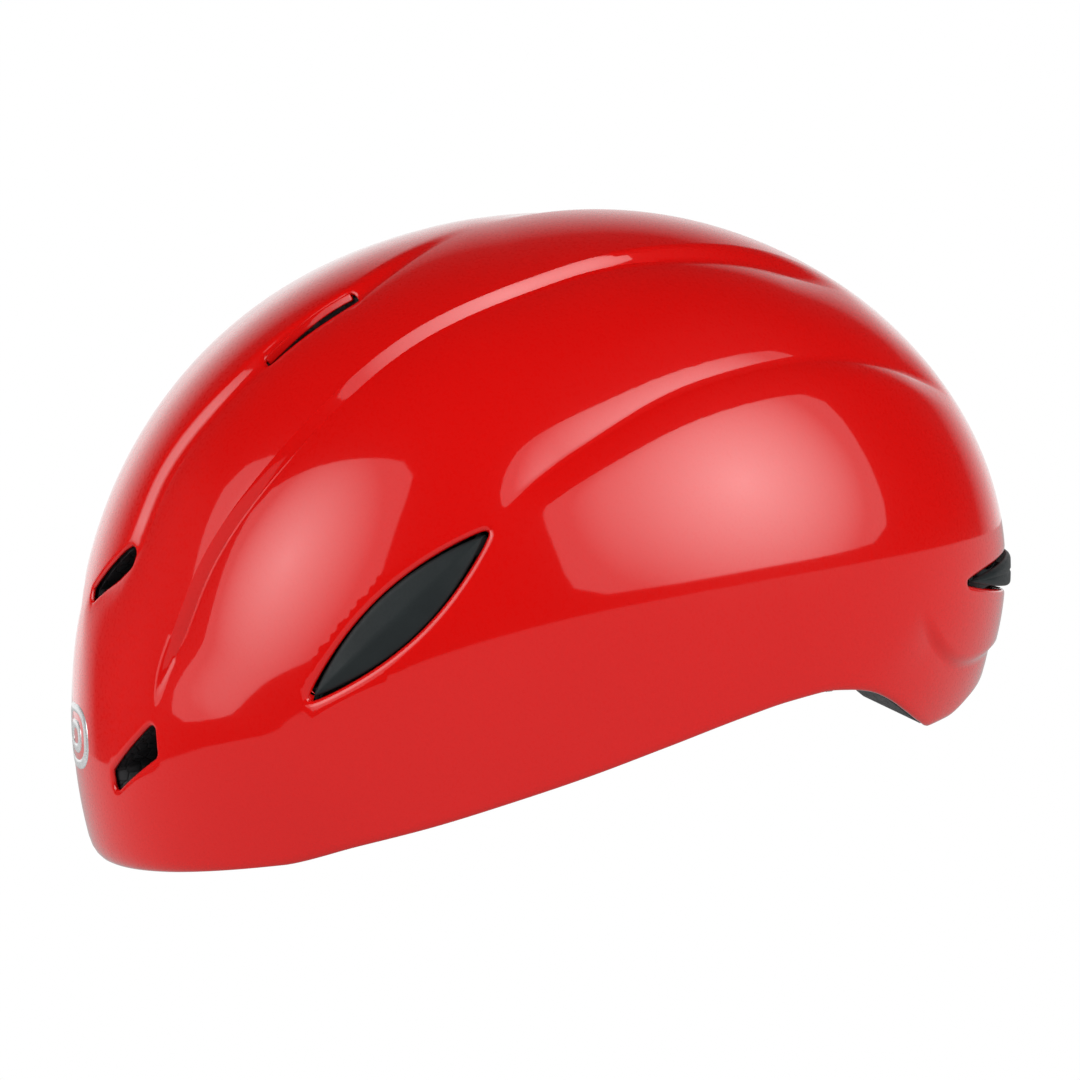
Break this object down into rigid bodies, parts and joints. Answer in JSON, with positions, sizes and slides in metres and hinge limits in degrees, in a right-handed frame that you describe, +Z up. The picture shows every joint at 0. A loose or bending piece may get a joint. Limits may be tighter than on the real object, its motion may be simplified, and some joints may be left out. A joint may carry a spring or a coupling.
{
  "type": "cycling helmet",
  "caption": "Short-tail aero cycling helmet: glossy shell over a foam liner, with vents, pads, a dial-adjusted cradle and a buckled chin strap.",
  "frame": {"origin": "under the middle of the helmet, on the plane that its brow edge and rear corners rest on", "axes": "+X to the wearer's left, -Y forward, +Z up; length along Y"},
  "size_m": [0.206, 0.2861, 0.1643],
  "materials": {
    "shell": "high gloss clear-coated polycarbonate",
    "foam": "moulded bead foam",
    "trim": "fine matt",
    "nylon": "satin moulded nylon",
    "padding": "brushed knit over foam",
    "webbing": "woven webbing"
  },
  "bodies": {
    "helmet": {"outer_shell": "shell", "eps_liner": "foam", "left_side_vent_insert": "trim", "right_side_vent_insert": "trim", "rear_cover": "trim", "brow_pad": "padding", "left_front_side_pad": "padding", "right_front_side_pad": "padding", "left_rear_side_pad": "padding", "right_rear_side_pad": "padding", "front_crown_pad": "padding", "rear_crown_pad": "padding", "left_front_strap_anchor": "nylon", "right_front_strap_anchor": "nylon", "left_rear_strap_anchor": "nylon", "right_rear_strap_anchor": "nylon", "left_front_strap": "webbing", "right_front_strap": "webbing", "left_rear_strap": "webbing", "right_rear_strap": "webbing", "left_chin_strap": "webbing", "right_chin_strap": "webbing", "chin_pad": "padding", "left_strap_divider": "nylon", "right_strap_divider": "nylon", "buckle_socket": "nylon", "left_temple_pivot": "nylon", "right_temple_pivot": "nylon", "height_clip": "nylon"},
    "cradle": {"left_temple_arm": "nylon", "right_temple_arm": "nylon", "dial_housing_cover": "nylon", "dial_housing_base": "nylon", "left_nape_pad": "padding", "right_nape_pad": "padding", "height_strap": "nylon"},
    "dial": {"dial_knob": "nylon", "dial_pinion": "nylon"},
    "left_rack": {"left_rack_arm": "nylon"},
    "right_rack": {"right_rack_arm": "nylon"},
    "left_lever": {"left_divider_lever": "nylon"},
    "right_lever": {"right_divider_lever": "nylon"},
    "prongs": {"buckle_prongs": "nylon"}
  },
  "joints": [
    {"name": "cradle_tilt", "type": "hinge", "parent": "helmet", "child": "cradle", "pos_m": [0, -0.01971, 0.028], "axis": [1, 0, 0], "range_deg": [-4, 6]},
    {"name": "dial_turn", "type": "hinge", "parent": "cradle", "child": "dial", "pos_m": [0, 0.079, 0.022], "axis": [0, -0.8829, 0.4695], "range_deg": [0, 96]},
    {"name": "left_rack_slide", "type": "slide", "parent": "cradle", "child": "left_rack", "axis": [-1, 0, 0], "range_m": [0, 0.00503]},
    {"name": "right_rack_slide", "type": "slide", "parent": "cradle", "child": "right_rack", "axis": [1, 0, 0], "range_m": [0, 0.00503]},
    {"name": "left_lever_flip", "type": "hinge", "parent": "helmet", "child": "left_lever", "pos_m": [0.0632, -0.002, 0.0486], "axis": [0, -1, 0], "range_deg": [0, 80]},
    {"name": "right_lever_flip", "type": "hinge", "parent": "helmet", "child": "right_lever", "pos_m": [-0.0632, -0.002, 0.0486], "axis": [0, 1, 0], "range_deg": [0, 80]},
    {"name": "buckle_release", "type": "slide", "parent": "helmet", "child": "prongs", "axis": [1, 0, 0], "range_m": [0, 0.022]}
  ],
  "couplings": [
    {"joint": "left_rack_slide", "follows": "dial_turn", "m_per_rad": 0.003},
    {"joint": "right_rack_slide", "follows": "dial_turn", "m_per_rad": 0.003}
  ]
}
